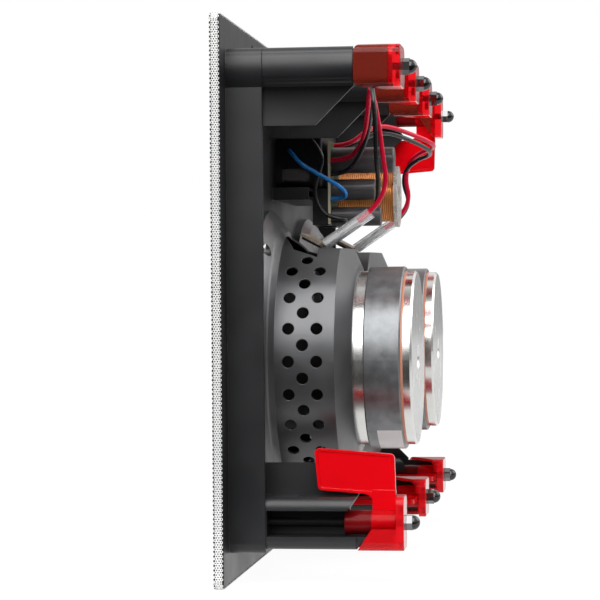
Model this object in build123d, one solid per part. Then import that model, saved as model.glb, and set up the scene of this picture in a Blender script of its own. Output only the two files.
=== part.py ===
from build123d import *
import math
import os

# In-wall speaker: a moulded frame with swing clamps, two woofers, a tweeter and a crossover.
# Millimetres, +Z up. The wall plane is y = 0: the flange's rear face lies on it, the grille is in
# front of it (-Y) and what goes into the wall is behind it (+Y). The origin is the panel's centre.

# Panel, grille and frame
PANEL_CORNER_R = 4.0
LEDGE_SIDE = 19.0           # from the tray's outer face to the panel's edge, at the sides
LEDGE_END = 17.5            # the same, above and below
GRILLE_FRONT = 5.7          # how far the grille stands in front of the wall
GRILLE_SHEET = 0.8
GRILLE_EDGE_GAP = 0.5       # between the folded rim and the flange's edge
GRILLE_REAR_GAP = 0.3       # between the folded rim and the wall
FLANGE_T = 3.5
TRAY_H = 280.0
TRAY_CORNER_R = 6.0
TRAY_WALL = 3.0
TRAY_DEPTH = 20.4
BAFFLE_FRONT = 5.0
BAFFLE_T = 3.5
FIT = 0.15                  # clearance of a piece seated in another
FLANGE_SLOT_X = 78.0        # slots through the flange, from the panel's middle
FLANGE_SLOT_W = 5.0
FLANGE_SLOT_H = 6.5

# Grille magnets in pockets of the flange
MAGNET_DISC_R = 4.0
MAGNET_POCKET = 1.5
MAGNET_AIR = 0.2            # between a disc and the grille sheet

# Clamp towers: rounded blocks with a channel for the clamp's sleeve
POST_LONG = 29.0
POST_SHORT = 22.0
POST_CORNER_R = 6.0
POST_END = 70.5
POST_EDGE = 1.0             # corner towers stand this far inside the tray's outer face
UPPER_AXIS = 11.0           # from the tray's upper face down to the upper row's screws
LOWER_AXIS = 15.7           # from the tray's lower face up to the lower row's screws
LOWER_SIDE_AXIS = 16.8      # the same, for the upright tower at the row's end
POST_TOP_SPACING = 112.0    # between the two middle towers of the upper row
CHANNEL_W = 14.4
CHANNEL_GAP = 0.6           # between the tray's rear edge and the channel
CHANNEL_WALL = 3.5          # closed side of the channel
RAMP_START = 65.5           # the tower's open end rises from here to its outer edge
RAMP_RISE = 5.0
SPIGOT_END = 90.0
WEB_T = 3.0
WEB_REACH = 32.5            # from the tower's screw to the web's edge
WEB_END = 71.0
WEB_INSET = 2.0
WEB_ROOT = 5.0

# Swing clamps: sleeve, neck and flag, on a threaded bush
CLAMP_TRAVEL = 37.0
SCREW_R = 2.5
SCREW_CLEAR = 0.1
BUSH_R = 4.2
BUSH_FRONT = 68.0
BUSH_LENGTH = 22.0
RUNNING_FIT = 0.05
SLEEVE_R = 6.8
SLEEVE_FRONT = 63.8
CLAMP_BACK = 92.0
NECK_T = 4.0
NECK_L = 13.0
NECK_FILLET_R = 4.0
FLAG_FRONT = 48.8
FLAG_NEAR = 17.9            # from the screw's axis to the flag's inner edge, at its front end
FLAG_W = 23.3
FLAG_T = 3.0
FLAG_CORNER_R = 2.6
FLAG_FALL = 0.078           # the long edges near the screw by this much per length
FLAG_LEAN = 2.2             # the front edge leans forward by this much
FLAG_REAR_LEAN = 0.7
FLAG_RIM_W = 1.6
FLAG_RIM_T = 0.5
NECK_SLOT_CLEAR = 0.8

# Caps on the towers' ends
CAP_LONG = 30.0
CAP_SHORT = 23.3
CAP_CORNER_R = 5.0
CAP_WALL = 1.8
CAP_FRONT = 71.0
CAP_BACK = 97.0
CAP_END_T = 4.4
CAP_MOUTH_RISE = 20.0
CAP_EDGE_R = 0.8

# Clamp screws and cap nuts
SCREW_HEAD_R = 4.6
SCREW_HEAD_H = 3.0
SCREW_IN_NUT = 4.5
NUT_ACROSS = 8.0
NUT_BASE_H = 4.1
NUT_DOME_R = 4.1

# Woofers
WOOFER_GAP = 0.6            # between the two baskets' rims
WOOFER_MARGIN = 3.3         # between a basket's rim and the tray's inside
WOOFER_Z = -34.5
BASKET_R = 73.0
BASKET_RIM_W = 14.2         # the rim stands this far outside the drum
BASKET_RIM_T = 5.0
BASKET_MOUTH_W = 3.3        # the mouth is this much wider than the drum
BASKET_FLARE_L = 9.5        # along which the rim narrows to the drum
BASKET_STEP = 0.9           # height of the two steps pressed in the flare
BASKET_BACK_R = 55.0
BASKET_T = 1.4
BASKET_DRUM_L = 34.0
BASKET_SHOULDER_L = 8.0
VENT_R = 3.35
VENT_STEP = 14.7            # degrees between the vents of a row
VENT_ROWS = 3
VENT_FIRST = 22.5           # from the basket's front face to the first row
VENT_PITCH = 8.0
VENT_SIDE = 3               # vents each side of the middle one, in the outer rows
WINDOW_START = 13.5         # from the basket's front face
WINDOW_WIDEST = 35.8
WINDOW_FRONT_W = 30.0
WINDOW_MID_W = 72.0
WINDOW_REAR_W = 86.0
WINDOW_MID = 21.5
FLAT_CHORD = 64.1           # flat behind the upper window, above the woofer's axis
BACK_HOLE_R = 22.0
HOLE_CLEAR = 0.6
WOOFER_SCREW_ANGLE = 50.0   # from the woofer's level line to each of its four screws
WOOFER_SCREW_EDGE = 3.9     # from the rim's edge to the screws' circle
WOOFER_SCREW_L = 8.0
SPOT_FACE = 1.0             # how deep the screws' seats are sunk in the flare
SPOT_FACE_R = 4.2
DRIVER_SCREW_R = 1.8
DRIVER_HEAD_R = 3.4
DRIVER_HEAD_H = 2.0
DRIVER_SCREW_L = 6.0

# Woofer motor
PLATE_EDGE = 4.0            # from the edge of the basket's back to the plates'
TOP_PLATE_T = 6.0
GAP_R = 20.9
MAGNET_R = 53.5
MAGNET_BORE_R = 30.0
MAGNET_T = 21.0
BACK_PLATE_T = 6.6
BACK_PLATE_CHAMFER = 1.2
POLE_R = 18.3
POLE_VENT_R = 6.0

# Woofer moving parts
CONE_LAND = 3.8
CONE_T = 1.1
CONE_DEPTH = 36.0
FORMER_R = 19.4
FORMER_T = 0.4
FORMER_IN_GAP = 12.0
COIL_T = 0.7
COIL_L = 9.0
DUST_CAP_R = 24.0
DUST_CAP_RISE = 6.5
DUST_CAP_T = 0.8
SURROUND_T = 1.0
SURROUND_ROLL_R = 5.0
SURROUND_LIP = 2.2
SURROUND_INSET = 3.5        # the roll's circle lies this far inside the drum
SPIDER_EDGE = 4.0           # between the spider's rim and the edge of the basket's back
SPIDER_LIP = 5.0
SPIDER_T = 0.8
SPIDER_WAVES = 3
SPIDER_WAVE_H = 2.2

# Woofer terminal strip, on a tongue of the basket in its upper window
STRIP_W = 44.0
STRIP_T = 1.6
STRIP_L = 13.0
STRIP_TILT = 28.0           # falls towards the rear
STRIP_REAR = 43.6           # middle of its rear edge
STRIP_RISE = 66.6           # the same, above the woofer's axis
TONGUE_W = 30.0
TONGUE_L = 12.0
TONGUE_PAST = 1.8           # how far the tongue runs on behind the strip
TAB_W = 6.3
TAB_T = 0.8
TAB_L = 9.0
TAB_BARE = 1.2              # bare length between the strip and a tab's sleeve
TAB_SPACING = 11.0
TAB_TILT = 34.0             # rises towards the rear

# Tweeter
TWEETER_Z = 94.6
WAVEGUIDE_R = 40.0
WAVEGUIDE_PLATE_T = 3.0
WAVEGUIDE_MOUTH_R = 23.5
WAVEGUIDE_THROAT_R = 14.2
WAVEGUIDE_WALL = 2.0
WAVEGUIDE_DEPTH = 13.0
COLLAR_R = 20.0             # collar that carries the tweeter's motor
DOME_R = 12.6
DOME_RISE = 3.8
DOME_T = 0.3
DOME_AIR = 0.4              # free space each side of the diaphragm's edge
DOME_EDGE_R = 17.0
DOME_FORMER_L = 4.0
TWEETER_PLATE_R = 22.0
TWEETER_PLATE_T = 3.0
TWEETER_MAGNET_R = 23.5
TWEETER_MAGNET_BORE_R = 15.5
TWEETER_MAGNET_T = 8.0
TWEETER_YOKE_T = 3.0
TWEETER_GAP = 0.7
HOUSING_SIDE_GAP = 1.5      # to the middle towers of the upper row
HOUSING_H = 52.8
HOUSING_CORNER_R = 5.0
HOUSING_WALL = 2.0
HOUSING_END = 37.0
TWEETER_SCREWS = 4
TWEETER_SCREW_EDGE = 4.5    # from the plate's edge to the screws' circle

# Shelf under the tweeter's housing and the blocks that the board's lower edge rests on
SHELF_W = 112.0
SHELF_H = 7.3
SHELF_GAP = 0.6             # between the housing and the shelf
SHELF_END = 30.5
SHELF_WALL = 2.0
BLOCK_W = 21.0
BLOCK_DROP = 15.0           # the blocks hang this far below the shelf
BLOCK_SPACING = 51.0

# Crossover board and its parts
BOARD_W = 72.0
BOARD_H = 51.0
BOARD_T = 1.6
BOARD_Z = 71.5
STANDOFF_L = 3.0
STANDOFF_R = 3.5
UPPER_SCREWS = ((8.0, 91.0), (-31.0, 92.0))
LOWER_SCREWS = ((-22.0, 55.0), (20.0, 56.0))
BOARD_SCREW_R = 1.4
BOARD_HEAD_R = 2.6
BOARD_HEAD_H = 1.8
BOARD_SCREW_L = 4.0
CAPACITORS = ((24.0, 85.3, 8.0, 38.5), (27.0, 67.1, 6.5, 27.0), (27.0, 50.6, 5.9, 30.5))
COIL_X = -1.0
COIL_Z = 63.5
BOBBIN_R = 19.0
BOBBIN_CORE_R = 9.0
BOBBIN_BORE_R = 7.0
BOBBIN_CHEEK_T = 2.2
BOBBIN_L = 39.0
WINDING_R = 15.8
RESISTOR_X = -12.0
RESISTOR_Z = 89.0
RESISTOR_R = 3.2
RESISTOR_L = 20.0
TERMINAL_X = -30.5
TERMINAL_Z = 66.0
TERMINAL_W = 10.0
TERMINAL_H = 26.0
TERMINAL_D = 15.0
TERMINAL_BORE_R = 2.2
TERMINAL_BORE_L = 11.0
TERMINAL_PITCH = 13.0

# Wires and their clear connector sleeves
WIRE_D = 2.8
TWEETER_WIRE_D = 2.6
SLEEVE_W = 8.4
SLEEVE_H = 5.6
SLEEVE_WALL = 0.5
CONNECTOR_L = 32.0
CONNECTOR_EDGE_R = 2.0
SPADE_T = 2.6               # rolled receptacle on a tab
SPADE_L = 9.5
SPADE_NECK_W = 3.0
SPADE_NECK_L = 4.0
BARREL_R = 1.9
BARREL_L = 10.0
LEAD_FREE = 0.3             # between a sleeve and what it sits on
LEAD_RUN = 4.0              # straight run of a wire behind its sleeve
TWEETER_CONNECTOR_L = 16.5
TWEETER_CONNECTOR_Y = 13.0
TWEETER_CONNECTOR_Z = 75.5

# Worked-out sizes
BAFFLE_BACK = BAFFLE_FRONT + BAFFLE_T
BASKET_RIM_R = BASKET_R + BASKET_RIM_W
WOOFER_X = BASKET_RIM_R + WOOFER_GAP / 2
TRAY_W = 2 * (WOOFER_X + BASKET_RIM_R + WOOFER_MARGIN + TRAY_WALL)
PANEL_W = TRAY_W + 2 * LEDGE_SIDE
PANEL_H = TRAY_H + 2 * LEDGE_END
FLANGE_W = PANEL_W - 2 * (GRILLE_SHEET + GRILLE_EDGE_GAP)
FLANGE_H = PANEL_H - 2 * (GRILLE_SHEET + GRILLE_EDGE_GAP)
FLANGE_CORNER_R = PANEL_CORNER_R - GRILLE_SHEET - GRILLE_EDGE_GAP
INNER_W = TRAY_W - 2 * TRAY_WALL
INNER_H = TRAY_H - 2 * TRAY_WALL
INNER_R = TRAY_CORNER_R - TRAY_WALL
GRILLE_INSIDE = GRILLE_SHEET - GRILLE_FRONT
CAVITY_END = CAP_BACK - CAP_END_T
CHANNEL_START = TRAY_DEPTH + CHANNEL_GAP
BASKET_MOUTH_R = BASKET_R + BASKET_MOUTH_W
BASKET_DRUM = BAFFLE_BACK + BASKET_RIM_T + BASKET_FLARE_L
BASKET_SHOULDER = BASKET_DRUM + BASKET_DRUM_L
BASKET_BACK = BASKET_SHOULDER + BASKET_SHOULDER_L
WOOFER_SCREW_R = BASKET_RIM_R - WOOFER_SCREW_EDGE
WOOFER_SEAT = BAFFLE_BACK + BASKET_RIM_T + SPOT_FACE
SURROUND_R = BASKET_R - SURROUND_INSET
CONE_R = SURROUND_R - SURROUND_ROLL_R - FIT
SPIDER_R = BASKET_BACK_R - SPIDER_EDGE
TOP_PLATE_R = BASKET_BACK_R - PLATE_EDGE
BACK_PLATE_R = TOP_PLATE_R
TOP_PLATE_BACK = BASKET_BACK + TOP_PLATE_T
MAGNET_BACK = TOP_PLATE_BACK + MAGNET_T
BACK_PLATE_BACK = MAGNET_BACK + BACK_PLATE_T
CONE_FRONT = BAFFLE_BACK
CONE_NECK = CONE_FRONT + CONE_DEPTH
HOUSING_W = POST_TOP_SPACING - POST_LONG - 2 * HOUSING_SIDE_GAP
HOUSING_SIDE = HOUSING_W / 2
BOARD_FRONT = HOUSING_END + STANDOFF_L
BOARD_BACK = BOARD_FRONT + BOARD_T
SHELF_TOP = TWEETER_Z - HOUSING_H / 2 - SHELF_GAP
SHELF_BOTTOM = SHELF_TOP - SHELF_H
STANDOFFS = UPPER_SCREWS + LOWER_SCREWS
TOP_Z = TRAY_H / 2 - UPPER_AXIS
LOW_Z = LOWER_AXIS - TRAY_H / 2
SIDE_LONG_X = TRAY_W / 2 - POST_EDGE - POST_LONG / 2
SIDE_SHORT_X = TRAY_W / 2 - POST_EDGE - POST_SHORT / 2

# Each tower: name, x, z and the turn about its screw. A turn of 0 stows the flag towards +Z and
# swings it out towards +X; the other turns follow the frame's edge round.
STATIONS = (
    ("top_1", SIDE_LONG_X, TOP_Z, -90.0),
    ("top_2", POST_TOP_SPACING / 2, TOP_Z, -90.0),
    ("top_3", -POST_TOP_SPACING / 2, TOP_Z, -90.0),
    ("top_4", -SIDE_SHORT_X, TRAY_H / 2 - POST_LONG / 2, 180.0),
    ("bottom_1", SIDE_SHORT_X, LOWER_SIDE_AXIS - TRAY_H / 2, 0.0),
    ("bottom_2", 0.0, LOW_Z, 90.0),
    ("bottom_3", -SIDE_LONG_X, LOW_Z, 90.0),
)
WOOFERS = (("1", WOOFER_X), ("2", -WOOFER_X))


def slab(outline, y_front, y_back):
    """Prism of an outline seen from the front (x right, z up), from y_front back to y_back."""
    plane = Plane(origin=(0, y_front, 0), x_dir=(1, 0, 0), z_dir=(0, -1, 0))
    return extrude(plane * outline, y_back - y_front, dir=(0, 1, 0))


def turned(*points):
    """Solid turned about the Y axis from a profile of (radius, y) points."""
    return revolve(make_face(Polyline(*points, close=True)), Axis.Y)


def ring(r_out, r_in, y_front, y_back):
    """Flat ring about the Y axis."""
    return slab(Circle(r_out) - Circle(r_in), y_front, y_back)


def disc(radius, y_front, y_back):
    """Cylinder along the Y axis."""
    return slab(Circle(radius), y_front, y_back)


def side_prism(points, half_width):
    """Prism of a (y, z) outline, reaching half_width each way along x."""
    outline = Plane.YZ * make_face(Polyline(*points, close=True))
    return extrude(outline, half_width, both=True)


def at_station(piece, station):
    """Places a clamp piece, made about the Y axis, on its tower."""
    name, x, z, turn = station
    return Pos(x, 0, z) * Rot(0, turn, 0) * piece


def on_circle(piece, radius, count, first_angle):
    """Copies of a piece round the Y axis, as a list."""
    copies = []
    for index in range(count):
        angle = first_angle + index * 360.0 / count
        copies.append(Rot(0, angle, 0) * Pos(radius, 0, 0) * piece)
    return copies


def tower_blank():
    """A tower before its channel is cut, with the spigot that carries the cap."""
    body = slab(RectangleRounded(POST_SHORT, POST_LONG, POST_CORNER_R), BAFFLE_BACK, POST_END)
    spigot_w = CAP_SHORT - 2 * CAP_WALL - 2 * FIT
    spigot_h = CAP_LONG - 2 * CAP_WALL - 2 * FIT
    outline = RectangleRounded(spigot_w, spigot_h, CAP_CORNER_R - CAP_WALL)
    return body + slab(outline, POST_END, SPIGOT_END)


def tower_cut():
    """What is cut from a tower: channel, neck slot, ramped open end and the screw's hole."""
    half = CHANNEL_W / 2
    closed_side = POST_SHORT / 2 - CHANNEL_WALL
    reach = POST_LONG
    channel_w = closed_side + reach
    channel = slab(Pos(channel_w / 2 - closed_side, 0) * Rectangle(channel_w, CHANNEL_W),
                   CHANNEL_START, SPIGOT_END + 1)
    slot_front = CLAMP_BACK - NECK_L - NECK_FILLET_R - CLAMP_TRAVEL - NECK_SLOT_CLEAR
    slot_w = NECK_T + 2 * NECK_SLOT_CLEAR
    slot = slab(Pos(0, reach / 2) * Rectangle(slot_w, reach), slot_front, SPIGOT_END)
    ramp_slope = RAMP_RISE / (POST_LONG / 2 - half)
    ramp_top = RAMP_START + ramp_slope * (reach - half)
    open_end = side_prism(
        [(RAMP_START, -half), (RAMP_START, half), (ramp_top, reach), (SPIGOT_END + reach, reach),
         (SPIGOT_END + reach, -half)], reach)
    hole = disc(SCREW_R + 2 * SCREW_CLEAR, BAFFLE_FRONT, CHANNEL_START)
    return [channel, slot, open_end, hole]


def tower_web(station):
    """Web that braces a tower towards the panel's middle, cut at 45 degrees at its rear end."""
    name, x, z, turn = station
    inward = -math.copysign(1.0, z)
    upright = turn % 180.0 == 0.0
    half_x = POST_SHORT / 2 if upright else POST_LONG / 2
    half_z = POST_LONG / 2 if upright else POST_SHORT / 2
    swing_x = math.cos(math.radians(turn)) + math.sin(math.radians(turn))
    side = -math.copysign(1.0, swing_x)
    web_x = x + side * (half_x - WEB_INSET - WEB_T / 2)
    z_root = z + inward * (half_z - WEB_ROOT)
    z_face = z + inward * half_z
    z_tip = z + inward * WEB_REACH
    slant = WEB_REACH - half_z
    outline = [(BAFFLE_BACK, z_root), (WEB_END, z_root), (WEB_END, z_face),
               (WEB_END - slant, z_tip), (BAFFLE_BACK, z_tip)]
    return Pos(web_x, 0, 0) * side_prism(outline, WEB_T / 2)


def disc_spots():
    """Places of the grille magnets on the flange, as (x, z)."""
    edge_x = (TRAY_W + FLANGE_W) / 4
    edge_z = (TRAY_H + FLANGE_H) / 4
    third = PANEL_W / 3
    spots = [(sx * edge_x, sz * edge_z / 2) for sx in (-1, 1) for sz in (-1, 1)]
    spots += [(sx * third, sz * edge_z) for sx in (-1, 1) for sz in (-1, 1)]
    return spots


def board_shelf():
    """Shelf under the tweeter's housing, open to the rear, with two blocks for the board."""
    middle = (SHELF_TOP + SHELF_BOTTOM) / 2
    shelf = slab(Pos(0, middle) * Rectangle(SHELF_W, SHELF_H), BAFFLE_BACK, SHELF_END)
    inside = Rectangle(SHELF_W - 2 * SHELF_WALL, SHELF_H - 2 * SHELF_WALL)
    shelf -= slab(Pos(0, middle) * inside, BAFFLE_BACK, SHELF_END)
    block_h = SHELF_H + BLOCK_DROP
    block = slab(Rectangle(BLOCK_W, block_h), SHELF_END, BOARD_FRONT)
    hole = disc(BOARD_SCREW_R, BOARD_BACK - BOARD_SCREW_L, BOARD_FRONT)
    shelf += [Pos(side * BLOCK_SPACING / 2, 0, SHELF_TOP - block_h / 2) * block for side in (1, -1)]
    return shelf - [Pos(x, 0, z) * hole for x, z in LOWER_SCREWS]


def flange():
    """Flange that lies on the wall round the tray, with the grille magnets' pockets and four slots."""
    plate = slab(RectangleRounded(FLANGE_W, FLANGE_H, FLANGE_CORNER_R), -FLANGE_T, 0)
    cuts = [slab(RectangleRounded(TRAY_W, TRAY_H, TRAY_CORNER_R), -FLANGE_T, 0)]
    pocket = disc(MAGNET_DISC_R + FIT, -FLANGE_T, MAGNET_POCKET - FLANGE_T)
    cuts += [Pos(x, 0, z) * pocket for x, z in disc_spots()]
    slot = slab(Rectangle(FLANGE_SLOT_W, FLANGE_SLOT_H), -FLANGE_T, 0)
    slot_z = (TRAY_H + FLANGE_H) / 4
    cuts += [Pos(sx * FLANGE_SLOT_X, 0, sz * slot_z) * slot for sx in (1, -1) for sz in (1, -1)]
    return plate - cuts


def tower(station):
    """One clamp tower with its web, from the baffle to the spigot."""
    body = at_station(tower_blank(), station) + tower_web(station)
    return body - [at_station(cut, station) for cut in tower_cut()]


def tray_space():
    """All that lies between the flange and the tray's rear edge."""
    return slab(Rectangle(PANEL_W, PANEL_H), 0, TRAY_DEPTH)


def frame():
    """The moulding's front: the flange, and within it the tray with baffle, tower roots and shelf."""
    body = slab(RectangleRounded(TRAY_W, TRAY_H, TRAY_CORNER_R), -FLANGE_T, TRAY_DEPTH)
    inside = RectangleRounded(INNER_W, INNER_H, INNER_R)
    body -= [slab(inside, -FLANGE_T, BAFFLE_FRONT), slab(inside, BAFFLE_BACK, TRAY_DEPTH)]
    body += [tower(station) & tray_space() for station in STATIONS]
    body += board_shelf()
    cuts = []
    for station in STATIONS:
        cuts += [at_station(cut, station) for cut in tower_cut()]
    for name, x in WOOFERS:
        cuts.append(Pos(x, 0, WOOFER_Z) * disc(BASKET_MOUTH_R + HOLE_CLEAR, 0, BAFFLE_BACK))
        hole = disc(DRIVER_SCREW_R + SCREW_CLEAR, 0, BAFFLE_BACK)
        cuts += [Pos(x, 0, WOOFER_Z) * cut for cut in woofer_circle(hole)]
    cuts.append(Pos(0, 0, TWEETER_Z) * disc(WAVEGUIDE_MOUTH_R + HOLE_CLEAR, 0, BAFFLE_BACK))
    hole = disc(DRIVER_SCREW_R + SCREW_CLEAR, 0, BAFFLE_BACK)
    cuts += [Pos(0, 0, TWEETER_Z) * cut for cut in tweeter_circle(hole)]
    return [flange(), body - cuts]


def clamp_towers():
    """The moulding's rear: seven towers with their webs, on the tray's rear edge."""
    return [tower(station) - tray_space() for station in STATIONS]


def grille():
    """Folded sheet tray that covers the whole flange; its perforation is left to the finish."""
    outer = slab(RectangleRounded(PANEL_W, PANEL_H, PANEL_CORNER_R), -GRILLE_FRONT, -GRILLE_REAR_GAP)
    inside = RectangleRounded(PANEL_W - 2 * GRILLE_SHEET, PANEL_H - 2 * GRILLE_SHEET,
                              PANEL_CORNER_R - GRILLE_SHEET)
    return outer - slab(inside, GRILLE_INSIDE, 0)


def grille_magnets():
    one = disc(MAGNET_DISC_R, GRILLE_INSIDE + MAGNET_AIR, MAGNET_POCKET - FLANGE_T)
    return [Pos(x, 0, z) * one for x, z in disc_spots()]


def flag_edge(y):
    """Distance of the flag's inner edge from the screw, at y."""
    return FLAG_NEAR - (y - FLAG_FRONT) * FLAG_FALL


def clamp():
    """Swing clamp about the Y axis: sleeve on the bush, neck and a rimmed flag towards +Z."""
    sleeve = ring(SLEEVE_R, BUSH_R + RUNNING_FIT, SLEEVE_FRONT, CLAMP_BACK)
    neck_front = CLAMP_BACK - NECK_L
    rear = CLAMP_BACK - FLAG_REAR_LEAN
    corners = [(FLAG_FRONT, FLAG_NEAR), (CLAMP_BACK, flag_edge(CLAMP_BACK)),
               (rear, flag_edge(rear) + FLAG_W),
               (FLAG_FRONT - FLAG_LEAN, flag_edge(FLAG_FRONT - FLAG_LEAN) + FLAG_W)]
    outline = make_face(Polyline(*corners, close=True))
    outline = fillet(outline.vertices(), FLAG_CORNER_R)
    recess = offset(outline, -FLAG_RIM_W)
    plate = extrude(Plane.YZ * outline, FLAG_T / 2, both=True)
    for side in (1, -1):
        sunk = Plane.YZ.offset(side * FLAG_T / 2) * recess
        plate -= extrude(sunk, -side * FLAG_RIM_T)
    neck_top = flag_edge(neck_front) + FLAG_CORNER_R
    neck = side_prism([(neck_front, 0), (CLAMP_BACK, 0), (CLAMP_BACK, neck_top),
                       (neck_front, neck_top)], NECK_T / 2)
    neck -= disc(SLEEVE_R - FIT, SLEEVE_FRONT, CLAMP_BACK)
    near = flag_edge(neck_front)
    gusset = Rectangle(NECK_FILLET_R, NECK_FILLET_R + FLAG_RIM_W, align=(Align.MAX, Align.MIN))
    gusset -= Pos(-NECK_FILLET_R, 0) * Circle(NECK_FILLET_R)
    gusset = Plane.YZ * (Pos(neck_front, near - NECK_FILLET_R) * gusset)
    return sleeve + neck + plate + extrude(gusset, FLAG_T / 2, both=True)


def clamp_bush():
    return ring(BUSH_R, SCREW_R + SCREW_CLEAR, BUSH_FRONT, BUSH_FRONT + BUSH_LENGTH)


def clamp_cap():
    """Clear cap on a tower's end, with a slanted mouth and a notch that the neck swings in."""
    outer = slab(RectangleRounded(CAP_SHORT, CAP_LONG, CAP_CORNER_R), CAP_FRONT, CAP_BACK)
    rear_edges = outer.faces().sort_by(Axis.Y)[-1].edges()
    outer = fillet(rear_edges, CAP_EDGE_R)
    cavity = slab(RectangleRounded(CAP_SHORT - 2 * CAP_WALL, CAP_LONG - 2 * CAP_WALL,
                                   CAP_CORNER_R - CAP_WALL), CAP_FRONT, CAVITY_END)
    mouth = side_prism([(CAP_FRONT - CAP_MOUTH_RISE / 2, -CAP_LONG),
                        (CAP_FRONT + CAP_MOUTH_RISE * 3 / 2, CAP_LONG),
                        (0, CAP_LONG), (0, -CAP_LONG)], CAP_LONG)
    edge = NECK_T / 2 + NECK_SLOT_CLEAR
    notch = slab(Pos(CAP_LONG / 2 - edge, CAP_LONG / 2 - edge) * Rectangle(CAP_LONG, CAP_LONG),
                 0, CAVITY_END)
    hole = disc(SCREW_R + SCREW_CLEAR, CAP_FRONT, CAP_BACK)
    return outer - [cavity, mouth, notch, hole]


def clamp_screw():
    head = disc(SCREW_HEAD_R, BAFFLE_FRONT - SCREW_HEAD_H, BAFFLE_FRONT)
    head = fillet(head.faces().sort_by(Axis.Y)[0].edges(), SCREW_HEAD_H / 3)
    return head + disc(SCREW_R, BAFFLE_FRONT, CAP_BACK + SCREW_IN_NUT)


def cap_nut():
    """Domed nut on the end of a clamp screw."""
    dome_y = CAP_BACK + NUT_BASE_H
    base = slab(RegularPolygon(NUT_ACROSS / 2, 6, major_radius=False), CAP_BACK, dome_y)
    dome = Pos(0, dome_y, 0) * Sphere(NUT_DOME_R)
    dome -= slab(Rectangle(4 * NUT_DOME_R, 4 * NUT_DOME_R), 0, dome_y)
    return base + dome - disc(SCREW_R + RUNNING_FIT, CAP_BACK, CAP_BACK + SCREW_IN_NUT + FIT)


def woofer_circle(piece):
    """A copy of the piece at each of a woofer's four screws."""
    copies = []
    for side in (0.0, 180.0):
        for angle in (side - WOOFER_SCREW_ANGLE, side + WOOFER_SCREW_ANGLE):
            copies.append(Rot(0, angle, 0) * Pos(WOOFER_SCREW_R, 0, 0) * piece)
    return copies


def tweeter_circle(piece):
    return on_circle(piece, WAVEGUIDE_R - TWEETER_SCREW_EDGE, TWEETER_SCREWS, 180.0 / TWEETER_SCREWS)


def driver_screw(length):
    """Pan-head screw along +Y, with the underside of its head at the origin."""
    head = disc(DRIVER_HEAD_R, -DRIVER_HEAD_H, 0)
    head = fillet(head.faces().sort_by(Axis.Y)[0].edges(), DRIVER_HEAD_H / 2)
    return head + disc(DRIVER_SCREW_R, 0, length)


def basket():
    """Pressed steel basket: rim, stepped flare, drum with rows of vents, windows and back ring."""
    rim = BAFFLE_BACK + BASKET_RIM_T
    third_r = BASKET_RIM_W / 3
    third_y = BASKET_FLARE_L / 3
    inner_r = BASKET_R - BASKET_T
    slope = BASKET_T * 0.4
    outer = [(BASKET_RIM_R, BAFFLE_BACK), (BASKET_RIM_R, rim - BASKET_STEP),
             (BASKET_RIM_R - BASKET_STEP, rim)]
    for step in (1, 2):
        radius = BASKET_RIM_R - step * third_r
        outer += [(radius + BASKET_STEP, rim + step * third_y - BASKET_STEP / 2),
                  (radius, rim + step * third_y + BASKET_STEP / 2)]
    outer += [(BASKET_R, BASKET_DRUM), (BASKET_R, BASKET_SHOULDER), (BASKET_BACK_R, BASKET_BACK)]
    inner = [(BACK_HOLE_R, BASKET_BACK), (BACK_HOLE_R, BASKET_BACK - BASKET_T),
             (BASKET_BACK_R - slope, BASKET_BACK - BASKET_T), (inner_r, BASKET_SHOULDER - slope),
             (inner_r, BASKET_DRUM), (SURROUND_R + SURROUND_ROLL_R - SURROUND_T, rim),
             (SURROUND_R + SURROUND_ROLL_R - SURROUND_T, BAFFLE_BACK)]
    shell = turned(*outer, *inner)
    vent = Pos(BASKET_R, 0, 0) * Rot(0, 90, 0) * Cylinder(VENT_R, 6 * BASKET_T)
    cuts = woofer_circle(disc(DRIVER_SCREW_R + SCREW_CLEAR, BAFFLE_BACK, WOOFER_SEAT))
    cuts += woofer_circle(disc(SPOT_FACE_R, WOOFER_SEAT, BASKET_DRUM))
    for row in range(VENT_ROWS):
        y = BAFFLE_BACK + VENT_FIRST + row * VENT_PITCH
        count = 2 * VENT_SIDE + 1 + row % 2
        for side in (0.0, 180.0):
            for index in range(count):
                angle = side + (index - (count - 1) / 2) * VENT_STEP
                cuts.append(Pos(0, y, 0) * Rot(0, angle, 0) * vent)
    half_widths = (WINDOW_FRONT_W / 2, WINDOW_MID_W / 2, WINDOW_REAR_W / 2)
    stations = (WINDOW_START, WINDOW_MID, WINDOW_WIDEST)
    right = [(half, BAFFLE_BACK + y) for half, y in zip(half_widths, stations)]
    left = [(-half, y) for half, y in reversed(right)]
    plan = make_face(Polyline(*right, *left, close=True))
    window = extrude(plan, BASKET_RIM_R)
    cuts += [window, Rot(0, 180, 0) * window]
    flat_front = BAFFLE_BACK + WINDOW_WIDEST
    tall = BASKET_RIM_R - FLAT_CHORD
    flat_l = BASKET_BACK - flat_front
    cuts.append(Pos(0, flat_front + flat_l / 2, FLAT_CHORD + tall / 2) * Box(2 * BASKET_R, flat_l, tall))
    plate_l = BASKET_SHOULDER - flat_front
    plate = Box(2 * BASKET_R, plate_l, BASKET_T)
    plate = Pos(0, flat_front + plate_l / 2, FLAT_CHORD - BASKET_T / 2) * plate
    plate &= disc(BASKET_R - BASKET_T / 2, flat_front, BASKET_SHOULDER)
    tongue_l = TONGUE_L + TONGUE_PAST
    tongue = Box(TONGUE_W, tongue_l, BASKET_T)
    drop = STRIP_T / 2 + FIT + BASKET_T / 2
    tongue = strip_frame(Pos(0, TONGUE_PAST - tongue_l / 2, -drop) * tongue)
    return shell - cuts + [plate, tongue]


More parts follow.
